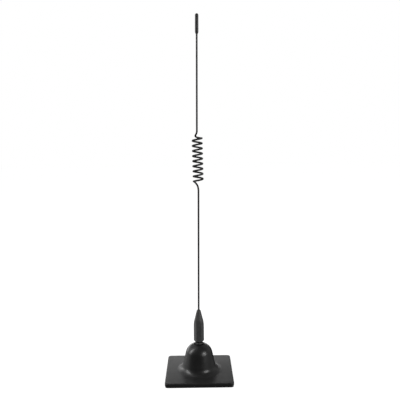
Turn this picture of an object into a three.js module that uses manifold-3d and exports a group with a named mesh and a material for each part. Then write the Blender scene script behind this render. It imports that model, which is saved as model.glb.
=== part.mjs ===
// Adhesive-mount whip antenna: a square moulded foot with a bell, a hexagonal ferrule that screws onto a
// stud, and a spring-steel whip with an open phasing coil. Millimetres, +Z up, origin at the middle of the
// face that sticks to the vehicle or window.
import * as THREE from "three";
import { mergeVertices } from "three/addons/utils/BufferGeometryUtils.js";
import Module from "manifold-3d";

const wasm = await Module();
wasm.setup();

// ---- Driving dimensions ----
const FOOT_SIDE = 60;
const FOOT_CORNER = 3;
const FLANGE_TOP = 3.75;
const FLANGE_EDGE_ROUND = 0.6;
const TAPE_THICKNESS = 1.1;
const TAPE_INSET = 0.3;

// The bell's outline is the crown's arc, a straight flank and a hollow fillet that ends on the flange.
const BELL_WALL = 1.8;
const CROWN_RADIUS = 10.1;
const CROWN_CENTRE = new THREE.Vector2(2.25, 17.7);
const CROWN_SEAT_RADIUS = 4.4;
const FILLET_RADIUS = 6.2;
const FILLET_END_RADIUS = 20.7;

const THREAD_RADIUS = 2.45;
const THREAD_PITCH = 0.8;
const THREAD_TURNS = 11;
const NECK_RADIUS = 3.2;
const NECK_TOP = 29;

const FERRULE_FLATS = 8.1;
const FERRULE_BOTTOM = 29.8;
const FERRULE_TOP = 59.2;

const WIRE_RADIUS = 0.8;
const WHIP_LEAN = THREE.MathUtils.degToRad(0.57);
const COIL_BOTTOM = 176;
const COIL_TOP = 213.9;
const COIL_TURNS = 8.5;
const COIL_MEAN_RADIUS = 4.1;
const COIL_SIDE_STEP = -0.8;
const LOWER_LEAD_LENGTH = 8.3;
const UPPER_LEAD_LENGTH = 7.1;
const CAP_LENGTH = 16.9;
const CAP_RADIUS = 1.5;
const OVERALL_HEIGHT = 320;

// Clearances: between faces that rest on each other, around what passes through a hole, and round a head.
const FACE_GAP = 0.05;
const HOLE_GAP = 0.25;
const HEAD_GAP = 0.15;
// How far joined solids run into each other, and how far a cutter runs past the face that it opens.
const OVERLAP = 0.5;
const PAST_FACE = 1;

const ROUND_SEGMENTS = 24;
const SMALL_SEGMENTS = 16;
const BELL_SEGMENTS = 48;
const HOLLOW_SEGMENTS = 32;
const FERRULE_SEGMENTS = 36;
const COIL_SIDES = 8;
const COIL_STEPS = 190;

// ---- Values worked out from the driving dimensions ----
const FLANGE_BOTTOM = TAPE_THICKNESS + FACE_GAP;
const HALF_PI = Math.PI / 2;
const BORE_RADIUS = THREAD_RADIUS + HOLE_GAP;
const STUD_TOP = FERRULE_BOTTOM + THREAD_PITCH * THREAD_TURNS;
const GASKET_RADIUS = NECK_RADIUS + 0.1;
const CROWN_SEAT =
  CROWN_CENTRE.y + Math.sqrt(CROWN_RADIUS ** 2 - (CROWN_SEAT_RADIUS - CROWN_CENTRE.x) ** 2);
const FILLET_CENTRE = new THREE.Vector2(FILLET_END_RADIUS, FLANGE_TOP + FILLET_RADIUS);

// ---- Solid helpers ----
function solidOf(geometry) {
  const bare = geometry.clone();
  bare.deleteAttribute("normal");
  bare.deleteAttribute("uv");
  const merged = mergeVertices(bare, 1e-4);
  const mesh = new wasm.Mesh({
    numProp: 3,
    vertProperties: new Float32Array(merged.attributes.position.array),
    triVerts: new Uint32Array(merged.index.array),
  });
  return new wasm.Manifold(mesh);
}

function geometryOf(solid) {
  const mesh = solid.getMesh();
  const geometry = new THREE.BufferGeometry();
  geometry.setAttribute("position", new THREE.BufferAttribute(mesh.vertProperties, 3));
  geometry.setIndex(new THREE.BufferAttribute(mesh.triVerts, 1));
  geometry.computeVertexNormals();
  return geometry;
}

const joined = (first, ...others) => others.reduce((sum, other) => sum.add(other), first);
const cut = (first, ...others) => others.reduce((rest, other) => rest.subtract(other), first);

// A solid of revolution about Z. The outline is [radius, height] pairs or Vector2s, going up the outside.
function turned(outline, segments = ROUND_SEGMENTS) {
  const points = outline.map((p) => (p.isVector2 ? p : new THREE.Vector2(...p)));
  return new THREE.LatheGeometry(points, segments).rotateX(HALF_PI);
}

// A plain ring or washer about Z.
function ring(inner, outer, bottom, top, segments = ROUND_SEGMENTS) {
  const outline = [
    [inner, bottom],
    [outer, bottom],
    [outer, top],
    [inner, top],
    [inner, bottom],
  ];
  return turned(outline, segments);
}

function disc(radius, bottom, top, segments = ROUND_SEGMENTS) {
  return turned([[0, bottom], [radius, bottom], [radius, top], [0, top]], segments);
}

function roundedSquare(side, corner) {
  const half = side / 2;
  const straight = half - corner;
  const shape = new THREE.Shape();
  shape.absarc(straight, straight, corner, 0, HALF_PI);
  shape.absarc(-straight, straight, corner, HALF_PI, Math.PI);
  shape.absarc(-straight, -straight, corner, Math.PI, Math.PI + HALF_PI);
  shape.absarc(straight, -straight, corner, Math.PI + HALF_PI, 2 * Math.PI);
  return shape;
}

function slab(side, corner, bottom, top) {
  const options = { depth: top - bottom, bevelEnabled: false, curveSegments: 3 };
  return new THREE.ExtrudeGeometry(roundedSquare(side, corner), options).translate(0, 0, bottom);
}

// A hexagonal prism about Z with two of its flats facing -Y and +Y.
function hexPrism(acrossFlats, bottom, top) {
  const corner = acrossFlats / Math.sqrt(3);
  const prism = new THREE.CylinderGeometry(corner, corner, top - bottom, 6);
  return prism.rotateX(HALF_PI).rotateZ(HALF_PI).translate(0, 0, (bottom + top) / 2);
}

// ---- Foot ----
const SCREW_CIRCLE = 10.8;
const SCREW_ANGLES = [45, 135, 225, 315].map(THREE.MathUtils.degToRad);
const SCREW_HEAD_RADIUS = 2;
const SCREW_SHANK_RADIUS = 1.05;
const SCREW_HEAD_HEIGHT = 0.9;
const HEAD_RIM = 0.1;
const SCREW_TIP = 8.2;
const SCREW_POINT_LENGTH = 1;
const PILOT_TOP = SCREW_TIP + 0.4;
const SCREW_SLOT_LENGTH = 2.4;
const SCREW_SLOT_WIDTH = 0.5;
const SCREW_SLOT_DEPTH = 0.45;
const BOSS_RADIUS = 2.3;
const BOSS_TOP = 10;

const PLATE_SIDE = 54;
const PLATE_CORNER = 2;
const PLATE_THICKNESS = 1;
const PLATE_TOP = FLANGE_BOTTOM + PLATE_THICKNESS;

const STUD_BOSS_RADIUS = 5.2;
const STUD_BOSS_BOTTOM = 12;
const STUD_BOTTOM = 6;
const SEAL_SEAT_RADIUS = 3.9;
const SEAL_SEAT_DEPTH = 0.8;
const SEAL_LIP_RADIUS = 4.6;
const SEAL_LIP_THICKNESS = 0.35;
const SEAL_LIP_ROUND = 0.12;

const screwSpots = SCREW_ANGLES.map((angle) => [
  SCREW_CIRCLE * Math.cos(angle),
  SCREW_CIRCLE * Math.sin(angle),
]);

const at = (geometry, [x, y]) => geometry.translate(x, y, 0);

// How far the flank leans in, so that it touches both the crown's arc and the fillet.
function flankLean() {
  const apart = FILLET_CENTRE.clone().sub(CROWN_CENTRE);
  const reach = Math.acos((CROWN_RADIUS + FILLET_RADIUS) / apart.length());
  return reach + Math.atan2(apart.y, apart.x);
}

const FLANK_LEAN = flankLean();

function crownPoints(radius, steps) {
  const crown = new THREE.Path();
  crown.absarc(CROWN_CENTRE.x, CROWN_CENTRE.y, radius, FLANK_LEAN, HALF_PI);
  return [...crown.getPoints(steps), new THREE.Vector2(0, CROWN_CENTRE.y + radius)];
}

function bell() {
  const fillet = new THREE.Path();
  const end = FLANK_LEAN - Math.PI;
  fillet.absarc(FILLET_CENTRE.x, FILLET_CENTRE.y, FILLET_RADIUS, -HALF_PI, end, true);
  const outline = [
    new THREE.Vector2(0, FLANGE_BOTTOM + OVERLAP),
    new THREE.Vector2(FILLET_END_RADIUS, FLANGE_BOTTOM + OVERLAP),
    ...fillet.getPoints(5),
    ...crownPoints(CROWN_RADIUS, 6),
  ];
  return turned(outline, BELL_SEGMENTS);
}

// The hollow keeps one wall thickness behind the flank and the crown, and is straight below them.
function bellHollow() {
  const reach = FILLET_RADIUS + BELL_WALL;
  const flankBottom = new THREE.Vector2(
    FILLET_CENTRE.x - reach * Math.cos(FLANK_LEAN),
    FILLET_CENTRE.y - reach * Math.sin(FLANK_LEAN),
  );
  const outline = [
    new THREE.Vector2(0, FLANGE_BOTTOM - PAST_FACE),
    new THREE.Vector2(flankBottom.x, FLANGE_BOTTOM - PAST_FACE),
    flankBottom,
    ...crownPoints(CROWN_RADIUS - BELL_WALL, 3),
  ];
  return turned(outline, HOLLOW_SEGMENTS);
}

function flange() {
  const options = {
    depth: FLANGE_TOP - FLANGE_EDGE_ROUND,
    bevelEnabled: true,
    bevelThickness: FLANGE_EDGE_ROUND,
    bevelSize: FLANGE_EDGE_ROUND,
    bevelOffset: -FLANGE_EDGE_ROUND,
    bevelSegments: 3,
    curveSegments: 4,
  };
  const block = new THREE.ExtrudeGeometry(roundedSquare(FOOT_SIDE, FOOT_CORNER), options);
  const below = new THREE.BoxGeometry(2 * FOOT_SIDE, 2 * FOOT_SIDE, 2 * FLANGE_BOTTOM);
  return cut(solidOf(block), solidOf(below));
}

function footCover() {
  const outside = joined(flange(), solidOf(bell()));
  const seatCut = disc(2 * CROWN_SEAT_RADIUS, CROWN_SEAT, CROWN_SEAT + CROWN_RADIUS);
  const recess = slab(PLATE_SIDE + 2 * HOLE_GAP, PLATE_CORNER, 0, PLATE_TOP + FACE_GAP);
  const shell = cut(outside, solidOf(bellHollow()), solidOf(seatCut), solidOf(recess));
  const bosses = screwSpots.map((spot) =>
    solidOf(at(disc(BOSS_RADIUS, PLATE_TOP + FACE_GAP, BOSS_TOP, SMALL_SEGMENTS), spot)),
  );
  const studBoss = disc(STUD_BOSS_RADIUS, STUD_BOSS_BOTTOM, CROWN_SEAT - OVERLAP);
  const pilots = screwSpots.map((spot) =>
    solidOf(at(disc(SCREW_SHANK_RADIUS + HOLE_GAP, 0, PILOT_TOP, SMALL_SEGMENTS), spot)),
  );
  const cutTop = CROWN_SEAT + PAST_FACE;
  const studBore = disc(BORE_RADIUS, STUD_BOSS_BOTTOM - PAST_FACE, cutTop);
  const sealSeat = disc(SEAL_SEAT_RADIUS, CROWN_SEAT - SEAL_SEAT_DEPTH, cutTop);
  const bossed = joined(shell, solidOf(studBoss), ...bosses);
  return geometryOf(cut(bossed, solidOf(studBore), solidOf(sealSeat), ...pilots));
}

function adhesiveTape() {
  return slab(FOOT_SIDE - 2 * TAPE_INSET, FOOT_CORNER - TAPE_INSET, 0, TAPE_THICKNESS);
}

// The outline of a countersunk head under a straight shank, grown by a margin for its hole.
function countersunk(headRadius, shankRadius, margin, shankTop) {
  const bottom = FLANGE_BOTTOM + FACE_GAP;
  const start = margin > 0 ? bottom - PAST_FACE : bottom;
  return [
    [0, start],
    [headRadius + margin, start],
    [headRadius + margin, bottom + HEAD_RIM],
    [shankRadius + margin, bottom + SCREW_HEAD_HEIGHT],
    [shankRadius + margin, shankTop],
  ];
}

const RIVET_SPOT = [0, 10.4];
const RIVET_HEAD_RADIUS = 1.6;
const RIVET_SHANK_RADIUS = 0.85;
const RIVET_UPSET_RADIUS = 1.45;
const RIVET_UPSET_HEIGHT = 0.65;

function couplingPlate() {
  const holeTop = PLATE_TOP + PAST_FACE;
  const closed = (outline) => solidOf(turned([...outline, [0, holeTop]], SMALL_SEGMENTS));
  const plate = solidOf(slab(PLATE_SIDE, PLATE_CORNER, FLANGE_BOTTOM, PLATE_TOP));
  const screwHole = closed(countersunk(SCREW_HEAD_RADIUS, SCREW_SHANK_RADIUS, HEAD_GAP, holeTop));
  const rivetHole = closed(countersunk(RIVET_HEAD_RADIUS, RIVET_SHANK_RADIUS, HEAD_GAP, holeTop));
  const screwHoles = screwSpots.map(([x, y]) => screwHole.translate([x, y, 0]));
  return geometryOf(cut(plate, rivetHole.translate([...RIVET_SPOT, 0]), ...screwHoles));
}

function plateScrew() {
  const shank = countersunk(SCREW_HEAD_RADIUS, SCREW_SHANK_RADIUS, 0, SCREW_TIP - SCREW_POINT_LENGTH);
  const body = solidOf(turned([...shank, [0, SCREW_TIP]], SMALL_SEGMENTS));
  const cutterHeight = 2 * (FLANGE_BOTTOM + FACE_GAP + SCREW_SLOT_DEPTH);
  const slots = [
    [SCREW_SLOT_LENGTH, SCREW_SLOT_WIDTH],
    [SCREW_SLOT_WIDTH, SCREW_SLOT_LENGTH],
  ].map(([x, y]) => solidOf(new THREE.BoxGeometry(x, y, cutterHeight)));
  return geometryOf(cut(body, ...slots));
}

// ---- Stud and what clamps it ----
const WASHER_RADIUS = 4.9;
const WASHER_THICKNESS = 0.8;
const WASHER_TOP = STUD_BOSS_BOTTOM - FACE_GAP;
const WASHER_BOTTOM = WASHER_TOP - WASHER_THICKNESS;
const STRAP_THICKNESS = 0.4;
const STRAP_WIDTH = 4;
const STRAP_EYE_RADIUS = 4.6;
const STRAP_LEG = 7.4;
const STRAP_TOE = 12.4;
const STRAP_TOP = WASHER_BOTTOM - FACE_GAP;
const STRAP_BOTTOM = STRAP_TOP - STRAP_THICKNESS;
const LOCK_RADIUS = 4.3;
const LOCK_THICKNESS = 1.1;
const LOCK_SPLIT_WIDTH = 0.7;
const LOCK_SPLIT_SLANT = 0.5;
const LOCK_TOP = STRAP_BOTTOM - FACE_GAP;
const LOCK_BOTTOM = LOCK_TOP - LOCK_THICKNESS;
const NUT_FLATS = 8;
const NUT_HEIGHT = 2.7;
const NUT_TOP = LOCK_BOTTOM - FACE_GAP;
const NUT_BOTTOM = NUT_TOP - NUT_HEIGHT;
const NECK_BOTTOM = CROWN_SEAT + HOLE_GAP;
const THREAD_CHAMFER = 0.5;
const RELIEF_DEPTH = 0.35;
const RELIEF_LENGTH = 1.1;
const RELIEF_SLOPE = 0.4;

function stud() {
  const reliefRadius = THREAD_RADIUS - RELIEF_DEPTH;
  const reliefTop = NECK_TOP + RELIEF_LENGTH;
  return turned([
    [0, STUD_BOTTOM],
    [THREAD_RADIUS - THREAD_CHAMFER, STUD_BOTTOM],
    [THREAD_RADIUS, STUD_BOTTOM + THREAD_CHAMFER],
    [THREAD_RADIUS, NECK_BOTTOM],
    [NECK_RADIUS, NECK_BOTTOM],
    [NECK_RADIUS, NECK_TOP],
    [reliefRadius, NECK_TOP],
    [reliefRadius, reliefTop],
    [THREAD_RADIUS, reliefTop + RELIEF_SLOPE],
    [THREAD_RADIUS, STUD_TOP - THREAD_CHAMFER],
    [THREAD_RADIUS - THREAD_CHAMFER, STUD_TOP],
    [0, STUD_TOP],
  ]);
}

// A rubber ring under the stud's neck, with a lip that lies on the crown round the neck.
function crownSeal() {
  const bottom = CROWN_SEAT - SEAL_SEAT_DEPTH + FACE_GAP;
  const lipBottom = CROWN_SEAT + FACE_GAP;
  const lipTop = lipBottom + SEAL_LIP_THICKNESS;
  const inner = BORE_RADIUS + FACE_GAP;
  return turned([
    [inner, bottom],
    [SEAL_SEAT_RADIUS - FACE_GAP, bottom],
    [SEAL_SEAT_RADIUS - FACE_GAP, lipBottom],
    [SEAL_LIP_RADIUS, lipBottom],
    [SEAL_LIP_RADIUS, lipTop - SEAL_LIP_ROUND],
    [SEAL_LIP_RADIUS - SEAL_LIP_ROUND, lipTop],
    [NECK_RADIUS + FACE_GAP, lipTop],
    [NECK_RADIUS + FACE_GAP, NECK_BOTTOM - FACE_GAP],
    [inner, NECK_BOTTOM - FACE_GAP],
    [inner, bottom],
  ]);
}

function lockWasher() {
  const washer = solidOf(ring(BORE_RADIUS + FACE_GAP, LOCK_RADIUS, LOCK_BOTTOM, LOCK_TOP));
  const split = new THREE.BoxGeometry(LOCK_RADIUS, LOCK_SPLIT_WIDTH, 4 * LOCK_THICKNESS);
  split.rotateX(LOCK_SPLIT_SLANT).translate(LOCK_RADIUS, 0, (LOCK_BOTTOM + LOCK_TOP) / 2);
  return geometryOf(cut(washer, solidOf(split)));
}

function studNut() {
  const prism = solidOf(hexPrism(NUT_FLATS, NUT_BOTTOM, NUT_TOP));
  const bore = solidOf(disc(BORE_RADIUS, NUT_BOTTOM - PAST_FACE, NUT_TOP + PAST_FACE));
  return geometryOf(cut(prism, bore));
}

// A brass strip from under the stud's washer down to the coupling plate.
function contactStrap() {
  const footBottom = PLATE_TOP + FACE_GAP;
  const footTop = footBottom + STRAP_THICKNESS;
  const start = (BORE_RADIUS + STRAP_EYE_RADIUS) / 2;
  const side = new THREE.Shape([
    new THREE.Vector2(start, STRAP_BOTTOM),
    new THREE.Vector2(STRAP_LEG - STRAP_THICKNESS, STRAP_BOTTOM),
    new THREE.Vector2(STRAP_LEG - STRAP_THICKNESS, footBottom),
    new THREE.Vector2(STRAP_TOE, footBottom),
    new THREE.Vector2(STRAP_TOE, footTop),
    new THREE.Vector2(STRAP_LEG, footTop),
    new THREE.Vector2(STRAP_LEG, STRAP_TOP),
    new THREE.Vector2(start, STRAP_TOP),
  ]);
  // The outline is drawn in X and Y, then stood up so that it lies in Y and Z.
  const strip = new THREE.ExtrudeGeometry(side, { depth: STRAP_WIDTH, bevelEnabled: false });
  strip.rotateX(HALF_PI).rotateZ(HALF_PI).translate(-STRAP_WIDTH / 2, 0, 0);
  const eye = ring(BORE_RADIUS + FACE_GAP, STRAP_EYE_RADIUS, STRAP_BOTTOM, STRAP_TOP);
  const rivetHole = disc(RIVET_SHANK_RADIUS + HEAD_GAP, 0, footTop + PAST_FACE, SMALL_SEGMENTS);
  return geometryOf(cut(joined(solidOf(strip), solidOf(eye)), solidOf(at(rivetHole, RIVET_SPOT))));
}

function strapRivet() {
  const headBottom = PLATE_TOP + 2 * FACE_GAP + STRAP_THICKNESS;
  const shank = countersunk(RIVET_HEAD_RADIUS, RIVET_SHANK_RADIUS, 0, headBottom);
  const upset = [
    [RIVET_UPSET_RADIUS, headBottom],
    [0.8 * RIVET_UPSET_RADIUS, headBottom + 0.7 * RIVET_UPSET_HEIGHT],
    [0, headBottom + RIVET_UPSET_HEIGHT],
  ];
  return at(turned([...shank, ...upset], SMALL_SEGMENTS), RIVET_SPOT);
}

// ---- Ferrule ----
const SOCKET_FLOOR = 50;
const FERRULE_CHAMFER = 1.1;
const WIRE_SOCKET_GAP = 0.15;
const WIRE_END_GAP = 0.3;
const BORE_END_ROOM = 0.6;
const DRILL_POINT = 1.4;
// Where the turning that makes the cone leaves the hexagon's corners, bends and runs straight.
const CORNER_MARGIN = 0.05;
const SHOULDER_BOTTOM = 43.5;
const SHOULDER_BEND = 46.8;
const CONE_BOTTOM = 49.8;
const CONE_BOTTOM_RADIUS = 4.05;
// The rounded nose: its radius at three depths below the top.
const NOSE = [
  [1.85, 0.8],
  [1.45, 0.15],
  [1.1, 0],
];

// A hexagonal bar turned down to a long cone at the top and chamfered at the bottom, like a pencil.
function ferrule() {
  const corner = FERRULE_FLATS / Math.sqrt(3);
  const shoulder = new THREE.QuadraticBezierCurve(
    new THREE.Vector2(corner + CORNER_MARGIN, SHOULDER_BOTTOM),
    new THREE.Vector2(corner, SHOULDER_BEND),
    new THREE.Vector2(CONE_BOTTOM_RADIUS, CONE_BOTTOM),
  );
  const outline = [
    new THREE.Vector2(0, FERRULE_BOTTOM),
    new THREE.Vector2(GASKET_RADIUS, FERRULE_BOTTOM),
    new THREE.Vector2(corner + CORNER_MARGIN, FERRULE_BOTTOM + FERRULE_CHAMFER),
    ...shoulder.getPoints(5),
    ...NOSE.map(([radius, depth]) => new THREE.Vector2(radius, FERRULE_TOP - depth)),
    new THREE.Vector2(0, FERRULE_TOP),
  ];
  const blank = solidOf(turned(outline, FERRULE_SEGMENTS));
  const below = FERRULE_BOTTOM - PAST_FACE;
  const above = FERRULE_TOP + PAST_FACE;
  const bar = solidOf(hexPrism(FERRULE_FLATS, below, above));
  const bore = turned([
    [0, below],
    [BORE_RADIUS, below],
    [BORE_RADIUS, STUD_TOP + BORE_END_ROOM],
    [0, STUD_TOP + BORE_END_ROOM + DRILL_POINT],
  ]);
  const socket = disc(WIRE_RADIUS + WIRE_SOCKET_GAP, SOCKET_FLOOR, above, SMALL_SEGMENTS);
  return geometryOf(cut(blank.intersect(bar), solidOf(bore), solidOf(socket)));
}

function ferruleGasket() {
  const bottom = NECK_TOP + FACE_GAP;
  return ring(BORE_RADIUS + FACE_GAP, GASKET_RADIUS, bottom, FERRULE_BOTTOM - FACE_GAP);
}

// ---- Whip ----
const LEAN_PIVOT = 55;
const WIRE_GAP = 0.1;
const LOWER_WIRE_START = SOCKET_FLOOR + WIRE_END_GAP;
const LOWER_WIRE_END = COIL_BOTTOM - LOWER_LEAD_LENGTH;
const UPPER_WIRE_START = COIL_TOP + UPPER_LEAD_LENGTH;
const CAP_BOTTOM = OVERALL_HEIGHT - CAP_LENGTH;
const CAP_SOCKET_DEPTH = 12;
const CAP_SKIRT_HEIGHT = 1.2;
const CAP_SKIRT_TAPER = 0.45;

// The sideways place of the lower wire's axis, and of the upper wire's, at a height.
const lowerWireX = (height) => (height - LEAN_PIVOT) * Math.tan(WHIP_LEAN);
const upperWireX = (height) => lowerWireX(LOWER_WIRE_END) + COIL_SIDE_STEP
  + (height - UPPER_WIRE_START) * Math.tan(WHIP_LEAN);

function wire(length) {
  const rod = new THREE.CylinderGeometry(WIRE_RADIUS, WIRE_RADIUS, length, SMALL_SEGMENTS);
  return rod.rotateX(HALF_PI).translate(0, 0, length / 2);
}

// The wire's centre line from the lower wire up to the upper one: it spirals out of the axis to the coil's
// radius, runs round the turns, and spirals back in. The coil's axis joins the ends of the two wires.
class CoilLine extends THREE.Curve {
  constructor() {
    super();
    this.start = LOWER_WIRE_END + WIRE_GAP;
    this.end = UPPER_WIRE_START - WIRE_GAP;
    this.lowerTurns = 1 / 6;
    this.upperTurns = 3 / 4;
    this.bottomAngle = Math.PI;
    this.total = this.lowerTurns + COIL_TURNS + this.upperTurns;
  }

  getPoint(t, target = new THREE.Vector3()) {
    const turn = t * this.total - this.lowerTurns;
    const below = Math.max(0, -turn) / this.lowerTurns;
    const above = Math.max(0, turn - COIL_TURNS) / this.upperTurns;
    const away = Math.max(below, above);
    const radius = COIL_MEAN_RADIUS * THREE.MathUtils.smoothstep(1 - away, 0, 1);
    const inCoil = THREE.MathUtils.clamp(turn / COIL_TURNS, 0, 1);
    const height =
      THREE.MathUtils.lerp(COIL_BOTTOM, COIL_TOP, inCoil) -
      (COIL_BOTTOM - this.start) * below ** 2 +
      (this.end - COIL_TOP) * above ** 2;
    const angle = this.bottomAngle + 2 * Math.PI * turn;
    const along = (height - this.start) / (this.end - this.start);
    const axisX = THREE.MathUtils.lerp(lowerWireX(this.start), upperWireX(this.end), along);
    return target.set(axisX + radius * Math.cos(angle), radius * Math.sin(angle), height);
  }
}

function phasingCoil() {
  const section = new THREE.Shape();
  section.absarc(0, 0, WIRE_RADIUS, 0, 2 * Math.PI);
  const options = { extrudePath: new CoilLine(), steps: COIL_STEPS, curveSegments: COIL_SIDES / 2 };
  return new THREE.ExtrudeGeometry(section, options);
}

function tipCap() {
  const dome = new THREE.Path();
  dome.absarc(0, CAP_LENGTH - CAP_RADIUS, CAP_RADIUS, 0, HALF_PI);
  const outline = [
    new THREE.Vector2(0, 0),
    new THREE.Vector2(CAP_RADIUS - CAP_SKIRT_TAPER, 0),
    new THREE.Vector2(CAP_RADIUS, CAP_SKIRT_HEIGHT),
    ...dome.getPoints(3).slice(0, -1),
    new THREE.Vector2(0, CAP_LENGTH),
  ];
  const socket = disc(WIRE_RADIUS + WIRE_SOCKET_GAP, -PAST_FACE, CAP_SOCKET_DEPTH, SMALL_SEGMENTS);
  return geometryOf(cut(solidOf(turned(outline, SMALL_SEGMENTS)), solidOf(socket)));
}

// ---- Assembly ----
const finish = (color, roughness, metalness) =>
  new THREE.MeshStandardMaterial({ color, roughness, metalness });
const blackPlastic = () => finish(0x1c1c1d, 0.42, 0);
const blackSteel = () => finish(0x2a2a2b, 0.45, 0.6);
const blackRubber = () => finish(0x161616, 0.8, 0);
const foamTape = () => finish(0x202020, 0.95, 0);
const brass = () => finish(0xb08d4a, 0.35, 1);
const zincSteel = () => finish(0xa9acb0, 0.4, 1);

const antenna = new THREE.Group();

function place(parent, name, geometry, material) {
  const mesh = new THREE.Mesh(geometry, material);
  mesh.name = name;
  parent.add(mesh);
  return mesh;
}

const foot = new THREE.Group();
place(foot, "adhesive_tape", adhesiveTape(), foamTape());
place(foot, "coupling_plate", couplingPlate(), brass());
place(foot, "foot_cover", footCover(), blackPlastic());
screwSpots.forEach(([x, y], index) => {
  place(foot, `plate_screw_${index + 1}`, plateScrew(), zincSteel()).position.set(x, y, 0);
});
place(foot, "stud", stud(), blackSteel());
place(foot, "crown_seal", crownSeal(), blackRubber());
const studWasher = ring(BORE_RADIUS, WASHER_RADIUS, WASHER_BOTTOM, WASHER_TOP);
place(foot, "stud_washer", studWasher, zincSteel());
place(foot, "contact_strap", contactStrap(), brass());
place(foot, "strap_rivet", strapRivet(), brass());
place(foot, "lock_washer", lockWasher(), zincSteel());
place(foot, "stud_nut", studNut(), zincSteel());
antenna.add(foot);

const mast = new THREE.Group();
place(mast, "ferrule_gasket", ferruleGasket(), blackRubber());
place(mast, "ferrule", ferrule(), blackSteel());
const lowerLength = LOWER_WIRE_END - LOWER_WIRE_START;
const lowerWhip = place(mast, "lower_whip", wire(lowerLength), blackSteel());
lowerWhip.position.set(lowerWireX(LOWER_WIRE_START), 0, LOWER_WIRE_START);
lowerWhip.rotation.y = WHIP_LEAN;
place(mast, "phasing_coil", phasingCoil(), blackSteel());

// The upper wire and its cap lean together, so they share a group.
const tip = new THREE.Group();
tip.position.set(upperWireX(UPPER_WIRE_START), 0, UPPER_WIRE_START);
tip.rotation.y = WHIP_LEAN;
const upperLength = CAP_BOTTOM + CAP_SOCKET_DEPTH - WIRE_END_GAP - UPPER_WIRE_START;
place(tip, "upper_whip", wire(upperLength), blackSteel());
place(tip, "tip_cap", tipCap(), blackPlastic()).position.z = CAP_BOTTOM - UPPER_WIRE_START;
mast.add(tip);
antenna.add(mast);

export default antenna;
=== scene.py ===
import math

import bmesh
import bpy
import numpy as np
from mathutils import Matrix, Vector


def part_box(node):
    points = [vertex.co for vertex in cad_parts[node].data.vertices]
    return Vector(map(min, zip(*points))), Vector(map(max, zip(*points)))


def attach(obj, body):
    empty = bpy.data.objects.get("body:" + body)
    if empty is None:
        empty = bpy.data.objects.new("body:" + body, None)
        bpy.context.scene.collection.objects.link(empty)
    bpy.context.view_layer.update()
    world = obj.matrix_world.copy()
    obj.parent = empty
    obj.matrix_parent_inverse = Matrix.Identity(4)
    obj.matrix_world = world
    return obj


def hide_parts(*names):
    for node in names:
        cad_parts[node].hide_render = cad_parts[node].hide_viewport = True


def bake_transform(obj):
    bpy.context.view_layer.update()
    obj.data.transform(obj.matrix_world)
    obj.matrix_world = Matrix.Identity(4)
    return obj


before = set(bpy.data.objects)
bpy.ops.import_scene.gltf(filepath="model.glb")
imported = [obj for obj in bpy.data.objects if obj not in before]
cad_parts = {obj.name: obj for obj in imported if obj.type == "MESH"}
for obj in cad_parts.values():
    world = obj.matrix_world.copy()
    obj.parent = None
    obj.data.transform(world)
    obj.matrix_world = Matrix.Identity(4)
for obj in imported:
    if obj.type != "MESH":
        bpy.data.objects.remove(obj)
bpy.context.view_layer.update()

MM = 0.001
TAU = 2 * math.pi

# ---- The part's dimensions, in millimetres ----
FOOT_LOW, FOOT_HIGH = [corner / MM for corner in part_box("foot_cover")]
TAPE_LOW, TAPE_HIGH = [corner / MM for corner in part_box("adhesive_tape")]
STUD_LOW, STUD_HIGH = [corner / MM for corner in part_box("stud")]
FERRULE_LOW, FERRULE_HIGH = [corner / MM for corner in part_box("ferrule")]
GASKET_LOW, GASKET_HIGH = [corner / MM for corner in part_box("ferrule_gasket")]
SEAL_LOW, SEAL_HIGH = [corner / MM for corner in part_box("crown_seal")]
CAP_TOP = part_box("tip_cap")[1].z / MM

# Foot
FOOT_SIDE = FOOT_HIGH.x - FOOT_LOW.x
FOOT_CORNER = 3.0
FLANGE_BOTTOM = FOOT_LOW.z
FLANGE_TOP = 3.75
EDGE_ROUND = 0.6
EDGE_LIP = 0.18
PLATE_SIDE = 54.5
PLATE_CORNER = 2.0
RECESS_TOP = 2.2
BELL_WALL = 1.8
FILLET_RADIUS = 6.2
FILLET_CENTRE = (20.7, FLANGE_TOP + FILLET_RADIUS)
CROWN_RADIUS = 10.1
CROWN_CENTRE = (2.25, 17.7)
CROWN_SEAT = FOOT_HIGH.z
CROWN_SEAT_RADIUS = 4.4
CROWN_SEAT_RIM = 0.2
SEAL_SEAT_RADIUS = 3.9
SEAL_SEAT_DEPTH = 0.8
SEAL_SEAT_CHAMFER = 0.15
STUD_BOSS_RADIUS = 5.2
STUD_BOSS_BOTTOM = 12.0
BORE_RADIUS = 2.7
BORE_CHAMFER = 0.3
BOSS_MARGIN = 0.1
SCREW_CIRCLE = 10.8
SCREW_BOSS_RADIUS = 2.3
SCREW_HOLE_RADIUS = 1.3
SCREW_BOSS_TOP = 10.0

# Foam tape
TAPE_FILM = 0.10
TAPE_GROOVE = 0.10
TAPE_FILM_ROUND = 0.02
TAPE_SHOULDER_INSET = 0.04
TAPE_SHOULDER_HEIGHT = 0.30

# Stud
THREAD_PITCH = 0.8
THREAD_CREST = 2.45
THREAD_ROOT = 2.02
THREAD_STEEPNESS = 2.5
THREAD_RUN_OUT = 0.5
THREAD_END_RADIUS = 1.5
THREAD_END_LENGTH = 0.5
THREAD_END_STEP = 0.1
SHANK_BOTTOM = STUD_BOSS_BOTTOM + 1.4
SHANK_CHAMFER = 0.4
NECK_RADIUS = 3.2
NECK_BOTTOM = CROWN_SEAT + 0.25
NECK_TOP = 29.0
NECK_CHAMFER = 0.15
RELIEF_HEIGHT = 1.0
RELIEF_CHAMFER = 0.1

# Seal under the neck, and gasket over it
SEAL_INNER_RADIUS = 2.75
SEAL_GAP = 0.05
SEAL_LIP_BOTTOM = CROWN_SEAT + 0.03
SEAL_LIP_ROUND = 0.15
SEAL_LIP_CHAMFER = 0.07
SEAL_LIP_UNDERCUT = 0.1
GASKET_BULGE = 0.2

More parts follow.
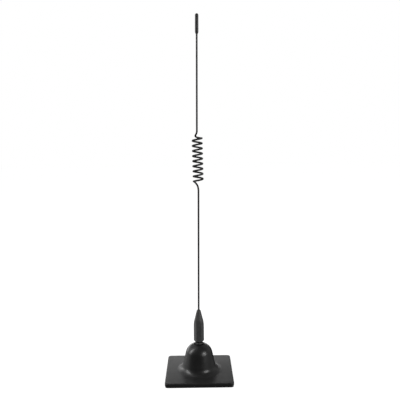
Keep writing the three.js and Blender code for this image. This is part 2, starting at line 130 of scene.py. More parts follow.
# Ferrule; its outline is kept a little past the hexagon's corners where it cuts nothing
FERRULE_FLATS = FERRULE_HIGH.y - FERRULE_LOW.y
FERRULE_CORNER = FERRULE_FLATS / math.sqrt(3)
FERRULE_BOTTOM = FERRULE_LOW.z
FERRULE_TOP = FERRULE_HIGH.z
FERRULE_CHAMFER = 1.1
PAST_CORNER = 0.1
BODY_TOP = 42.8
SHOULDER_START = (FERRULE_CORNER + 0.08, 43.2)
SHOULDER_MIDDLE = (FERRULE_CORNER, 46.8)
CONE_START = (4.05, 49.8)
NOSE_START = (1.85, FERRULE_TOP - 0.8)
NOSE_BULGE = ((1.7, FERRULE_TOP - 0.2), (1.45, FERRULE_TOP))
NOSE_END = (1.15, FERRULE_TOP)
BORE_TOP = 39.2
DRILL_POINT = 1.4
DRILL_TIP_RADIUS = 0.05
BORE_MOUTH_WIDTH = 0.25
BORE_MOUTH_DEPTH = 0.3
SOCKET_RADIUS = 0.87
SOCKET_FLOOR = 50.0
SOCKET_EDGE = 0.1

# Wire and coil
WIRE_RADIUS = 0.80
WHIP_LEAN = math.radians(0.57)
LEAN_PIVOT = 55.0
LOWER_WIRE_START = 50.3
COIL_BOTTOM = 176.0
COIL_TOP = 213.9
COIL_TURNS = 8.5
COIL_RADIUS = 4.1
COIL_SIDE_STEP = -0.8
LOWER_LEAD = 8.3
UPPER_LEAD = 7.1
LOWER_LEAD_TURNS = 1 / 6
UPPER_LEAD_TURNS = 3 / 4
LOWER_WIRE_END = COIL_BOTTOM - LOWER_LEAD
UPPER_WIRE_START = COIL_TOP + UPPER_LEAD

# Tip cap; the heights of its skirt, body and socket are from its bottom
CAP_LENGTH = 16.9
CAP_RADIUS = 1.5
CAP_BOTTOM = CAP_TOP - CAP_LENGTH
CAP_TIP_RADIUS = 0.04
CAP_TAPER = 0.03
CAP_LIP_ROUND = 0.12
CAP_SKIRT_INSET = 0.3
CAP_SKIRT_STEP = 0.02
CAP_SKIRT_BOTTOM = 0.25
CAP_SKIRT_TOP = 1.2
CAP_BODY_BOTTOM = 1.5
CAP_SOCKET_DEPTH = 12.0
CAP_SOCKET_RADIUS = WIRE_RADIUS + 0.12
CAP_SOCKET_CENTRE = 0.02
CAP_MOUTH_DEPTH = 0.6
CAP_MOUTH_FLARE = 0.02
SEAM_HEIGHT = 0.02
SEAM_WIDTH = 0.04
SEAM_LEAST_RADIUS = 1.3
WIRE_END = CAP_BOTTOM + CAP_SOCKET_DEPTH - 0.3

# ---- Camera, in metres, radians and lens millimetres ----
CAMERA_HEIGHT = 0.2032
CAMERA_DISTANCE = 0.4364
CAMERA_SIDE = 0.00238
CAMERA_PITCH = 0.100
CAMERA_ROLL = 0.0113
CAMERA_TURN = -0.0039
FOCAL_LENGTH = 44.46
SENSOR_WIDTH = 36.0


def make_camera():
    data = bpy.data.cameras.new("camera")
    data.lens = FOCAL_LENGTH
    data.sensor_width = SENSOR_WIDTH
    data.clip_start = 0.01
    data.clip_end = 50.0
    camera = bpy.data.objects.new("camera", data)
    bpy.context.scene.collection.objects.link(camera)
    turn = Matrix.Rotation(CAMERA_TURN, 4, "Z")
    place = Matrix.Translation((CAMERA_SIDE, -CAMERA_DISTANCE, CAMERA_HEIGHT))
    aim = Matrix.Rotation(math.pi / 2 - CAMERA_PITCH, 4, "X")
    roll = Matrix.Rotation(-CAMERA_ROLL, 4, "Z")
    camera.matrix_world = turn @ place @ aim @ roll
    bpy.context.scene.camera = camera


make_camera()


# ---- Mesh helpers ----
MERGE_DISTANCE = 1e-5
RING_STEPS = 72
WEAR_FULL_ANGLE = math.radians(25)
WEAR_ROUNDS = 2
WEAR_SPREAD = 0.6


def finish_mesh(name, bm, sharp_degrees=32.0):
    """Turns a bmesh in millimetres into an object in metres, smooth but for its sharp edges."""
    bmesh.ops.remove_doubles(bm, verts=bm.verts, dist=MERGE_DISTANCE)
    bmesh.ops.recalc_face_normals(bm, faces=bm.faces)
    limit = math.radians(sharp_degrees)
    for face in bm.faces:
        face.smooth = True
    for edge in bm.edges:
        edge.smooth = edge.calc_face_angle(0.0) < limit
    bmesh.ops.scale(bm, vec=(MM, MM, MM), verts=bm.verts)
    mesh = bpy.data.meshes.new(name)
    bm.to_mesh(mesh)
    bm.free()
    obj = bpy.data.objects.new(name, mesh)
    bpy.context.scene.collection.objects.link(obj)
    return obj


def add_loops(bm, loops, closed=False, caps=(False, False)):
    """Skins a list of point rings. closed joins the last ring to the first; caps fill the end rings."""
    rings = [[bm.verts.new(point) for point in loop] for loop in loops]
    pairs = list(zip(rings, rings[1:]))
    if closed:
        pairs.append((rings[-1], rings[0]))
    for lower, upper in pairs:
        count = len(lower)
        for i in range(count):
            j = (i + 1) % count
            bm.faces.new((lower[i], lower[j], upper[j], upper[i]))
    for wanted, ring in zip(caps, (rings[0], rings[-1])):
        if wanted:
            middle = sum((v.co for v in ring), Vector()) / len(ring)
            centre = bm.verts.new(middle)
            for i, vert in enumerate(ring):
                bm.faces.new((vert, ring[(i + 1) % len(ring)], centre))
    return rings


def circle_angles(count):
    return [TAU * i / count for i in range(count)]


def ring_at(radius, height, angles):
    return [(radius * math.cos(a), radius * math.sin(a), height) for a in angles]


def turned(outline, angles):
    """Rings of points at the radii and heights of an outline."""
    return [ring_at(radius, height, angles) for radius, height in outline]


def turned_ring(name, outline, sharp_degrees):
    """A closed ring with an outline as its section."""
    bm = bmesh.new()
    add_loops(bm, turned(outline, circle_angles(RING_STEPS)), closed=True)
    return finish_mesh(name, bm, sharp_degrees)


def arc(centre, radius, start, end, steps):
    """Points on an arc in the radius-height plane, from one angle to another in degrees."""
    angles = np.radians(np.linspace(start, end, steps + 1))
    return [(centre[0] + radius * math.cos(a), centre[1] + radius * math.sin(a)) for a in angles]


def line(start, end, steps):
    return [tuple(p) for p in np.linspace(start, end, steps + 1)]


def bezier(p0, p1, p2, p3, steps):
    """Points on a cubic curve from p0 to p3, drawn towards p1 and p2."""
    t = np.linspace(0, 1, steps + 1)[:, None]
    s = 1 - t
    points = s**3 * np.array(p0) + 3 * s * s * t * np.array(p1)
    points = points + 3 * s * t * t * np.array(p2) + t**3 * np.array(p3)
    return [tuple(p) for p in points]


def mark_wear(obj):
    """Stores how convex the surface is at each point, for materials that wear along their edges."""
    bm = bmesh.new()
    bm.from_mesh(obj.data)
    bm.verts.ensure_lookup_table()
    wear = np.zeros(len(bm.verts))
    for edge in bm.edges:
        if len(edge.link_faces) == 2 and edge.is_convex:
            angle = edge.calc_face_angle(0.0)
            for vert in edge.verts:
                wear[vert.index] = max(wear[vert.index], angle)
    wear = np.clip(wear / WEAR_FULL_ANGLE, 0, 1)
    for _ in range(WEAR_ROUNDS):
        spread = wear.copy()
        for edge in bm.edges:
            a, b = (vert.index for vert in edge.verts)
            spread[a] = max(spread[a], WEAR_SPREAD * wear[b])
            spread[b] = max(spread[b], WEAR_SPREAD * wear[a])
        wear = spread
    bm.free()
    layer = obj.data.attributes.new("wear", "FLOAT", "POINT")
    layer.data.foreach_set("value", wear.astype(np.float32))


# ---- Material helpers ----
class Nodes:
    """A thin layer over a material's node tree: calls that add a node return its output socket."""

    def __init__(self, name):
        self.material = bpy.data.materials.new(name)
        self.material.use_nodes = True
        self.tree = self.material.node_tree
        self.shader = self.tree.nodes["Principled BSDF"]
        coordinates = self.tree.nodes.new("ShaderNodeTexCoord")
        self.place = coordinates.outputs["Object"]
        self.uv = coordinates.outputs["UV"]

    def add(self, kind, **settings):
        node = self.tree.nodes.new(kind)
        for key, value in settings.items():
            setattr(node, key, value)
        return node

    def link(self, output, socket):
        self.tree.links.new(output, socket)

    def feed(self, socket, value):
        if isinstance(value, bpy.types.NodeSocket):
            self.link(value, socket)
        else:
            socket.default_value = value

    def stretched(self, scale, source=None):
        node = self.add("ShaderNodeMapping")
        node.inputs["Scale"].default_value = scale
        self.link(source or self.place, node.inputs["Vector"])
        return node.outputs["Vector"]

    def noise(self, scale, detail=3.0, rough=0.5, source=None):
        node = self.add("ShaderNodeTexNoise")
        self.link(source or self.place, node.inputs["Vector"])
        node.inputs["Scale"].default_value = scale
        node.inputs["Detail"].default_value = detail
        node.inputs["Roughness"].default_value = rough
        return node.outputs["Fac"]

    def cells(self, scale):
        node = self.add("ShaderNodeTexVoronoi")
        self.link(self.place, node.inputs["Vector"])
        node.inputs["Scale"].default_value = scale
        return node.outputs["Distance"]

    def rings(self, scale, distortion):
        node = self.add("ShaderNodeTexWave", bands_direction="Z")
        self.link(self.place, node.inputs["Vector"])
        node.inputs["Scale"].default_value = scale
        node.inputs["Distortion"].default_value = distortion
        return node.outputs["Fac"]

    def height(self):
        node = self.add("ShaderNodeSeparateXYZ")
        self.link(self.place, node.inputs["Vector"])
        return node.outputs["Z"]

    def attribute(self, name):
        return self.add("ShaderNodeAttribute", attribute_name=name).outputs["Fac"]

    def remap(self, value, low, high, to_low=0.0, to_high=1.0):
        node = self.add("ShaderNodeMapRange")
        for socket, number in zip(node.inputs[1:5], (low, high, to_low, to_high)):
            socket.default_value = number
        self.link(value, node.inputs["Value"])
        return node.outputs["Result"]

    def math(self, operation, a, b):
        node = self.add("ShaderNodeMath", operation=operation)
        self.feed(node.inputs[0], a)
        self.feed(node.inputs[1], b)
        return node.outputs["Value"]

    def times(self, a, b):
        return self.math("MULTIPLY", a, b)

    def plus(self, a, b):
        return self.math("ADD", a, b)

    def worn(self, spots, low, high):
        """Where edges are worn through, in spots that start at low and are complete at high."""
        return self.times(self.attribute("wear"), self.remap(spots, low, high))

    def mix(self, factor, colour_a, colour_b):
        node = self.add("ShaderNodeMix", data_type="RGBA")
        self.link(factor, node.inputs["Factor"])
        self.feed(node.inputs[6], colour_a)
        self.feed(node.inputs[7], colour_b)
        return node.outputs[2]

    def bump(self, height, distance, strength=1.0, below=None):
        node = self.add("ShaderNodeBump")
        node.inputs["Strength"].default_value = strength
        node.inputs["Distance"].default_value = distance
        self.link(height, node.inputs["Height"])
        if below:
            self.link(below, node.inputs["Normal"])
        return node.outputs["Normal"]

    def surface(self, colour, roughness, normal, metallic=0.0, specular=0.5):
        self.link(colour, self.shader.inputs["Base Color"])
        self.link(roughness, self.shader.inputs["Roughness"])
        self.link(normal, self.shader.inputs["Normal"])
        self.shader.inputs["Metallic"].default_value = metallic
        self.shader.inputs["Specular IOR Level"].default_value = specular
        return self.material


def grey(value, warmth=0.0):
    return (value * (1 + warmth), value, value * (1 - warmth), 1.0)


# The flange is rougher than the bell, and the change is between these heights, in metres.
FLANGE_GRAIN_ENDS = (0.0040, 0.0060)


def moulded_plastic():
    """Satin black plastic with a fine grain, soft sink marks, dust specks and faintly scuffed edges."""
    n = Nodes("moulded_black_plastic")
    cloud = n.noise(140.0, detail=4.0, rough=0.55)
    grain = n.noise(5200.0, detail=2.0, rough=0.6)
    scuffs = n.worn(n.noise(900.0, detail=5.0, rough=0.7), 0.48, 0.66)
    specks = n.remap(n.noise(2600.0, detail=1.0, rough=0.4), 0.70, 0.76)
    base = n.mix(n.remap(cloud, 0.3, 0.7), grey(0.014), grey(0.020))
    base = n.mix(n.times(scuffs, 0.35), base, grey(0.07))
    base = n.mix(n.times(specks, 0.35), base, grey(0.07, warmth=0.03))
    roughness = n.remap(cloud, 0.25, 0.75, 0.30, 0.35)
    roughness = n.plus(roughness, n.remap(n.height(), *FLANGE_GRAIN_ENDS, 0.07, 0.0))
    roughness = n.plus(roughness, n.times(scuffs, 0.15))
    roughness = n.plus(roughness, n.remap(grain, 0.2, 0.8, -0.03, 0.03))
    sinks = n.bump(n.noise(90.0, detail=1.0, rough=0.4), distance=0.0004, strength=0.25)
    normal = n.bump(grain, distance=0.00002, strength=0.3, below=sinks)
    return n.surface(base, roughness, normal)


def cap_plastic():
    """Matt black plastic of the tip cap."""
    n = Nodes("cap_black_plastic")
    cloud = n.noise(600.0, detail=3.0, rough=0.5)
    grain = n.noise(6500.0, detail=2.0, rough=0.6)
    scuffs = n.worn(n.noise(1500.0, detail=4.0, rough=0.6), 0.45, 0.6)
    base = n.mix(n.remap(cloud, 0.3, 0.7), grey(0.019), grey(0.027))
    base = n.mix(n.times(scuffs, 0.3), base, grey(0.07))
    roughness = n.remap(cloud, 0.3, 0.7, 0.42, 0.52)
    return n.surface(base, roughness, n.bump(grain, distance=0.00003, strength=0.5))


def coated_wire():
    """Black-coated spring wire: fine drawn lines along it, a slightly uneven coat and rubbed spots."""
    n = Nodes("coated_spring_wire")
    drawn = n.noise(60.0, detail=4.0, rough=0.6, source=n.stretched((0.4, 8.0, 1.0), n.uv))
    coat = n.noise(350.0, detail=3.0, rough=0.5)
    rubbed = n.remap(n.noise(240.0, detail=4.0, rough=0.65), 0.60, 0.72)
    base = n.mix(n.remap(coat, 0.3, 0.7), grey(0.020), grey(0.034))
    base = n.mix(n.times(rubbed, 0.25), base, grey(0.12))
    roughness = n.remap(drawn, 0.3, 0.7, 0.36, 0.50)
    uneven = n.bump(coat, distance=0.00006, strength=0.2)
    normal = n.bump(drawn, distance=0.00002, strength=0.4, below=uneven)
    return n.surface(base, roughness, normal, specular=0.35)


def coated_ferrule():
    """Satin black coat over turned bar: faint tool rings, and edges where the coat is thinner."""
    n = Nodes("coated_turned_metal")
    tool_marks = n.rings(1600.0, distortion=0.6)
    coat = n.noise(420.0, detail=4.0, rough=0.6)
    thin = n.worn(n.noise(700.0, detail=5.0, rough=0.7), 0.42, 0.62)
    base = n.mix(n.remap(coat, 0.3, 0.7), grey(0.074), grey(0.100))
    base = n.mix(n.times(thin, 0.45), base, grey(0.18, warmth=0.04))
    roughness = n.remap(coat, 0.3, 0.7, 0.34, 0.44)
    roughness = n.plus(roughness, n.times(thin, -0.06))
    uneven = n.bump(coat, distance=0.00005, strength=0.2)
    normal = n.bump(tool_marks, distance=0.00002, strength=0.30, below=uneven)
    return n.surface(base, roughness, normal, specular=0.30)


def seal_rubber():
    """Black rubber with a dusty bloom."""
    n = Nodes("black_seal_rubber")
    bloom = n.noise(500.0, detail=4.0, rough=0.6)
    base = n.mix(n.remap(bloom, 0.35, 0.7), grey(0.008), grey(0.02))
    roughness = n.remap(bloom, 0.3, 0.7, 0.55, 0.75)
    normal = n.bump(n.noise(4000.0, detail=2.0), distance=0.00004, strength=0.5)
    return n.surface(base, roughness, normal, specular=0.15)


def foam():
    """Closed-cell foam tape: small cells of uneven size."""
    n = Nodes("black_foam_tape")
    cells = n.cells(3600.0)
    cloud = n.noise(220.0, detail=3.0, rough=0.5)
    base = n.mix(n.remap(cells, 0.0, 0.6), grey(0.006), grey(0.02))
    roughness = n.remap(cloud, 0.3, 0.7, 0.78, 0.95)
    return n.surface(base, roughness, n.bump(cells, distance=0.0001, strength=0.6))


def rolled_brass():
    """Rolled brass sheet, lightly tarnished."""
    n = Nodes("rolled_brass")
    bright, tarnished = (0.72, 0.53, 0.22, 1), (0.42, 0.27, 0.10, 1)
    tarnish = n.noise(120.0, detail=5.0, rough=0.6)
    rolled = n.noise(260.0, detail=3.0, rough=0.6, source=n.stretched((0.15, 9.0, 1.0)))
    base = n.mix(n.remap(tarnish, 0.35, 0.7), bright, tarnished)
    roughness = n.remap(rolled, 0.3, 0.7, 0.22, 0.40)
    normal = n.bump(rolled, distance=0.00003, strength=0.3)
    return n.surface(base, roughness, normal, metallic=1.0)


def zinc_plate():
    """Bright zinc plate with its fine crystal mottling."""
    n = Nodes("zinc_plated_steel")
    cool, warm = (0.56, 0.57, 0.58, 1), (0.70, 0.70, 0.69, 1)
    crystals = n.cells(1400.0)
    cloud = n.noise(300.0, detail=3.0, rough=0.5)
    base = n.mix(n.remap(crystals, 0.0, 0.7), cool, warm)
    roughness = n.remap(cloud, 0.3, 0.7, 0.26, 0.42)
    normal = n.bump(crystals, distance=0.00003, strength=0.3)
    return n.surface(base, roughness, normal, metallic=1.0)


PLASTIC = moulded_plastic()
CAP_PLASTIC = cap_plastic()
WIRE = coated_wire()
COATED = coated_ferrule()
RUBBER = seal_rubber()
FOAM = foam()
BRASS = rolled_brass()
ZINC = zinc_plate()


def dress(obj, material, slot, body, *nodes):
    """Gives a finished piece its wear and material, its body if one is named, and hides the CAD nodes
    that it stands for. The slot is not used.
    """
    mark_wear(obj)
    obj.data.materials.append(material)
    if body:
        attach(obj, body)
    if nodes:
        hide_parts(*nodes)
    return obj


# ---- Foot ----
SIDE_STEPS = 26
CORNER_STEPS = 8
CROWN_STEPS = 14
FILLET_STEPS = 18
FLANGE_STEPS = 8
INSIDE_STEPS = 5
CEILING_STEPS = 4
RING_CROWDING = 0.8
QUARTER_ROUND_MIDDLE = 0.3
EDGE_ARC = np.radians(np.linspace(75, 0, 6))
SCREW_BOSS_ANGLES = circle_angles(24)
TAPE_FACE_SHARES = (0.75, 0.5, 0.25)


def rounded_square(side, corner, height):
    """Points round a rounded square, closer together in its corners."""
    straight = side / 2 - corner
    points = []
    for quarter in range(4):
        turn = quarter * math.pi / 2
        along = []
        for i in range(CORNER_STEPS):
            a = math.pi / 2 * i / CORNER_STEPS
            along.append((straight + corner * math.cos(a), straight + corner * math.sin(a)))
        for i in range(SIDE_STEPS):
            along.append((straight - 2 * straight * i / SIDE_STEPS, straight + corner))
        c, s = math.cos(turn), math.sin(turn)
        points += [(x * c - y * s, x * s + y * c, height) for x, y in along]
    return points


FOOT_ANGLES = [math.atan2(y, x) for x, y, _ in rounded_square(FOOT_SIDE, FOOT_CORNER, 0)]


def flank_lean():
    """The flank's lean in degrees: it touches both the crown's arc and the fillet."""
    across, down = np.subtract(FILLET_CENTRE, CROWN_CENTRE)
    reach = math.acos((CROWN_RADIUS + FILLET_RADIUS) / math.hypot(across, down))
    return math.degrees(reach + math.atan2(down, across))


def bell_outline(inset, steps):
    """From the crown's seat down the crown and flank to the fillet, at a depth below the outer face."""
    top = math.degrees(math.acos((CROWN_SEAT_RADIUS - CROWN_CENTRE[0]) / CROWN_RADIUS))
    crown = arc(CROWN_CENTRE, CROWN_RADIUS - inset, top, flank_lean(), steps)
    fillet_start = arc(FILLET_CENTRE, FILLET_RADIUS + inset, 180 + flank_lean(), 180, 1)[0]
    return crown + line(crown[-1], fillet_start, steps)[1:]


def blended_rings(inner_radius, side, corner, height, steps):
    """Rings on a flat face that pass from a circle to a rounded square, crowding towards the square."""
    circle = np.array(ring_at(inner_radius, height, FOOT_ANGLES))
    square = np.array(rounded_square(side, corner, height))
    shares = np.linspace(0, 1, steps + 1) ** RING_CROWDING
    return [[tuple(p) for p in circle * (1 - s) + square * s] for s in shares]


def crown_seat_outline():
    """From the stud's bore up past the seal's recess to the rim of the crown's flat top."""
    recess_floor = CROWN_SEAT - SEAL_SEAT_DEPTH
    return [
        (BORE_RADIUS, STUD_BOSS_BOTTOM + BORE_CHAMFER),
        (BORE_RADIUS, recess_floor),
        (SEAL_SEAT_RADIUS, recess_floor),
        (SEAL_SEAT_RADIUS, CROWN_SEAT - SEAL_SEAT_CHAMFER),
        (SEAL_SEAT_RADIUS + SEAL_SEAT_CHAMFER, CROWN_SEAT),
        (CROWN_SEAT_RADIUS - CROWN_SEAT_RIM, CROWN_SEAT),
    ]


def flange_edge():
    """Rings down the flange's rounded edge and in under it to the recess for the plate."""
    def ring(inset, height):
        return rounded_square(FOOT_SIDE - 2 * inset, FOOT_CORNER - inset, height)

    rings = []
    for a in EDGE_ARC:
        inset = EDGE_ROUND * (1 - math.cos(a))
        rings.append(ring(inset, FLANGE_TOP - EDGE_ROUND * (1 - math.sin(a))))
    middle = QUARTER_ROUND_MIDDLE * EDGE_LIP
    rings.append(ring(0.0, FLANGE_BOTTOM + EDGE_LIP))
    rings.append(ring(middle, FLANGE_BOTTOM + middle))
    rings.append(ring(EDGE_LIP, FLANGE_BOTTOM))
    rings.append(rounded_square(PLATE_SIDE, PLATE_CORNER, FLANGE_BOTTOM))
    return rings


def foot_inside():
    """Rings from the recess for the plate up the hollow bell and down the stud's boss."""
    hollow = bell_outline(BELL_WALL, INSIDE_STEPS)[::-1]
    widest, highest = hollow[0][0], hollow[-1][1]
    ceiling = blended_rings(widest, PLATE_SIDE, PLATE_CORNER, RECESS_TOP, CEILING_STEPS)[::-1]
    wall = [point for point in hollow if point[0] > STUD_BOSS_RADIUS + BOSS_MARGIN]
    boss = [
        (STUD_BOSS_RADIUS, highest),
        (STUD_BOSS_RADIUS, STUD_BOSS_BOTTOM),
        (BORE_RADIUS + BORE_CHAMFER, STUD_BOSS_BOTTOM),
    ]
    return ceiling + turned(wall + boss, FOOT_ANGLES)


def foot_shell():
    """One closed moulding: crown seat, bell, fillet, flange, the recess below and the hollow inside."""
    fillet = arc(FILLET_CENTRE, FILLET_RADIUS, 180 + flank_lean(), 270, FILLET_STEPS)[1:]
    outline = crown_seat_outline() + bell_outline(0.0, CROWN_STEPS) + fillet
    side, corner = FOOT_SIDE - 2 * EDGE_ROUND, FOOT_CORNER - EDGE_ROUND
    top = blended_rings(FILLET_CENTRE[0], side, corner, FLANGE_TOP, FLANGE_STEPS)[1:]
    bm = bmesh.new()
    loops = turned(outline, FOOT_ANGLES) + top + flange_edge() + foot_inside()
    add_loops(bm, loops, closed=True)
    for i in range(4):
        turn = math.pi / 4 + i * math.pi / 2
        centre = Vector((SCREW_CIRCLE * math.cos(turn), SCREW_CIRCLE * math.sin(turn), 0))
        add_screw_boss(bm, centre)
    return dress(finish_mesh("foot_shell", bm), PLASTIC, "moulded_black", "foot", "foot_cover")


def add_screw_boss(bm, centre):
    """A hollow boss inside the bell for one plate screw."""
    outline = [
        (SCREW_HOLE_RADIUS, RECESS_TOP),
        (SCREW_BOSS_RADIUS, RECESS_TOP),
        (SCREW_BOSS_RADIUS, SCREW_BOSS_TOP),
        (SCREW_HOLE_RADIUS, SCREW_BOSS_TOP),
    ]
    rings = turned(outline, SCREW_BOSS_ANGLES)
    add_loops(bm, [[centre + Vector(point) for point in ring] for ring in rings], closed=True)


def foam_tape():
    """Double-sided foam tape: a foam core that bulges a little between its two adhesive films."""
    side = TAPE_HIGH.x - TAPE_LOW.x
    corner = FOOT_CORNER - (FOOT_SIDE - side) / 2
    top = TAPE_HIGH.z
    lower_edge = [
        (TAPE_GROOVE, 0.0),
        (0.0, TAPE_FILM_ROUND),
        (0.0, TAPE_FILM),
        (TAPE_GROOVE, TAPE_FILM + TAPE_FILM_ROUND),
        (TAPE_SHOULDER_INSET, TAPE_SHOULDER_HEIGHT),
    ]
    upper_edge = [(inset, top - height) for inset, height in lower_edge[::-1]]
    edge = lower_edge + [(0.0, top / 2)] + upper_edge
    loops = [rounded_square(side - 2 * inset, corner - inset, height) for inset, height in edge]
    upper_face = [rounded_square(side * s, corner * s, top) for s in TAPE_FACE_SHARES]
    lower_face = [rounded_square(side * s, corner * s, 0.0) for s in TAPE_FACE_SHARES[::-1]]
    bm = bmesh.new()
    add_loops(bm, lower_face + loops + upper_face, caps=(True, True))
    return dress(finish_mesh("foam_tape_pad", bm), FOAM, "foam_tape", "foot", "adhesive_tape")


# ---- Stud and seals ----
THREAD_STEPS = 10
THREAD_ANGLES = circle_angles(40)
GASKET_ARC = np.radians(np.linspace(-75, 75, 9))
LIP_STEPS = 6


def tooth_height(phase):
    """How high the thread stands, 0 to 1, at a share of its pitch: a flat crest and sloping flanks."""
    return min(1.0, max(0.0, THREAD_STEEPNESS * (0.5 - abs(phase - 0.5))))


def thread_loops(bottom, top):
    """Rings that follow a right-hand thread, dying away at both ends."""
    loops = []
    count = int(round((top - bottom) / THREAD_PITCH * THREAD_STEPS))
    for height in np.linspace(bottom, top, count + 1):
        from_end = min(height - bottom, top - height)
        depth = (THREAD_CREST - THREAD_ROOT) * min(1.0, max(0.0, from_end / THREAD_RUN_OUT))
        loop = []
        for a in THREAD_ANGLES:
            phase = (height / THREAD_PITCH - a / TAU) % 1.0
            radius = THREAD_ROOT + depth * tooth_height(phase)
            loop.append((radius * math.cos(a), radius * math.sin(a), height))
        loops.append(loop)
    return loops


def threaded_stud():
    """The stud: a thread for the nut, shank, collar, relief groove and a thread for the ferrule."""
    top, bottom = STUD_HIGH.z, STUD_LOW.z
    lower_end = [
        (THREAD_END_RADIUS, bottom),
        (THREAD_ROOT, bottom + 0.8 * THREAD_END_LENGTH),
    ]
    collar = [
        (THREAD_CREST, SHANK_BOTTOM),
        (THREAD_CREST, NECK_BOTTOM),
        (NECK_RADIUS - NECK_CHAMFER, NECK_BOTTOM),
        (NECK_RADIUS, NECK_BOTTOM + NECK_CHAMFER),
        (NECK_RADIUS, NECK_TOP - NECK_CHAMFER),
        (NECK_RADIUS - NECK_CHAMFER, NECK_TOP),
        (THREAD_ROOT, NECK_TOP),
        (THREAD_ROOT, NECK_TOP + RELIEF_HEIGHT),
    ]
    upper_end = [
        (THREAD_ROOT - THREAD_END_STEP, top - 0.6 * THREAD_END_LENGTH),
        (THREAD_END_RADIUS, top),
    ]
    upper_thread_bottom = NECK_TOP + RELIEF_HEIGHT + RELIEF_CHAMFER
    loops = turned(lower_end, THREAD_ANGLES)
    loops += thread_loops(bottom + THREAD_END_LENGTH, SHANK_BOTTOM - SHANK_CHAMFER)
    loops += turned(collar, THREAD_ANGLES)
    loops += thread_loops(upper_thread_bottom, top - THREAD_END_LENGTH)
    loops += turned(upper_end, THREAD_ANGLES)
    bm = bmesh.new()
    add_loops(bm, loops, caps=(True, True))
    stud = finish_mesh("threaded_stud", bm, sharp_degrees=40.0)
    return dress(stud, COATED, "coated_ferrule", "foot", "stud")


def neck_gasket():
    """The ferrule's flat gasket, squeezed so that it bulges at its middle."""
    low, high = GASKET_LOW.z, GASKET_HIGH.z
    flat_edge = GASKET_HIGH.x - GASKET_BULGE
    middle, half = (low + high) / 2, (high - low) / 2
    outline = [(BORE_RADIUS, low), (flat_edge, low)]
    for a in GASKET_ARC:
        outline.append((flat_edge + GASKET_BULGE * math.cos(a), middle + half * math.sin(a)))
    outline += [(flat_edge, high), (BORE_RADIUS, high)]
    ring = turned_ring("neck_gasket", outline, sharp_degrees=60.0)
    return dress(ring, RUBBER, "seal_rubber", "seal", "ferrule_gasket")


def crown_seal():
    """The rubber ring under the stud's neck, with a rounded lip that lies on the crown."""
    seat_edge = SEAL_SEAT_RADIUS - SEAL_GAP
    neck_edge = NECK_RADIUS + SEAL_GAP
    under_neck = NECK_BOTTOM - SEAL_GAP
    lip_edge, lip_top = SEAL_HIGH.x - SEAL_LIP_ROUND, SEAL_HIGH.z
    outline = [
        (SEAL_INNER_RADIUS, under_neck),
        (SEAL_INNER_RADIUS, SEAL_LOW.z),
        (seat_edge, SEAL_LOW.z),
        (seat_edge, SEAL_LIP_BOTTOM),
        (SEAL_HIGH.x - SEAL_LIP_UNDERCUT, SEAL_LIP_BOTTOM),
    ]
    outline += arc((lip_edge, lip_top - SEAL_LIP_ROUND), SEAL_LIP_ROUND, -30, 90, LIP_STEPS)
    outline += [
        (neck_edge + SEAL_LIP_CHAMFER, lip_top),
        (neck_edge, lip_top - SEAL_LIP_CHAMFER),
        (neck_edge, under_neck),
    ]
    ring = turned_ring("crown_seal_ring", outline, sharp_degrees=50.0)
    return dress(ring, RUBBER, "seal_rubber", "foot", "crown_seal")


# ---- Ferrule ----
FLAT_STEPS = 22
CHAMFER_STEPS = 8
BODY_STEPS = 8
SHOULDER_STEPS = 30
CONE_STEPS = 16
NOSE_STEPS = 6
HEX_SHARPNESS = 90.0
CUT_ROUND = 0.05


def hex_angles():
    """Angles round a hexagon with a flat at -Y, closer together at its corners."""
    angles = []
    for flat in range(6):
        middle = -math.pi / 2 + flat * math.pi / 3
        for i in range(FLAT_STEPS):
            share = -1 + 2 * i / FLAT_STEPS
            angles.append(middle + math.pi / 6 * math.sin(share * math.pi / 2))
    return angles


def hex_radius(angle):
    """How far out a hexagonal bar with slightly rounded corners reaches at an angle."""
    total = 0.0
    for flat in range(6):
        toward = math.cos(angle + math.pi / 2 - flat * math.pi / 3)
        total += max(toward, 0.0) ** HEX_SHARPNESS
    return FERRULE_FLATS / 2 / total ** (1 / HEX_SHARPNESS)


def soft_min(a, b):
    """The smaller of two lengths, rounded where they cross."""
    gap = abs(a - b)
    dip = max(0.0, 1 - gap / (4 * CUT_ROUND))
    return min(a, b) - CUT_ROUND * dip * dip


def shoulder():
    """The long curve from the hexagon's corners to the cone, drawn towards one middle point."""
    start, middle, end = (np.array(p) for p in (SHOULDER_START, SHOULDER_MIDDLE, CONE_START))
    from_start = start + (middle - start) * 2 / 3
    from_end = end + (middle - end) * 2 / 3
    return bezier(start, from_start, from_end, end, SHOULDER_STEPS)


def ferrule_outline():
    """The turned outline that the hexagonal bar is cut to: chamfer, body, shoulder, cone and nose."""
    past = FERRULE_CORNER + PAST_CORNER
    chamfer_top = FERRULE_BOTTOM + FERRULE_CHAMFER
    foot_radius = NECK_RADIUS + PAST_CORNER
    chamfer = line((foot_radius, FERRULE_BOTTOM), (past, chamfer_top), CHAMFER_STEPS)
    body = line((past, chamfer_top + PAST_CORNER), (past, BODY_TOP), BODY_STEPS)
    cone = line(CONE_START, NOSE_START, CONE_STEPS)[1:]
    nose = bezier(NOSE_START, *NOSE_BULGE, NOSE_END, NOSE_STEPS)[1:]
    return chamfer + body + shoulder() + cone + nose


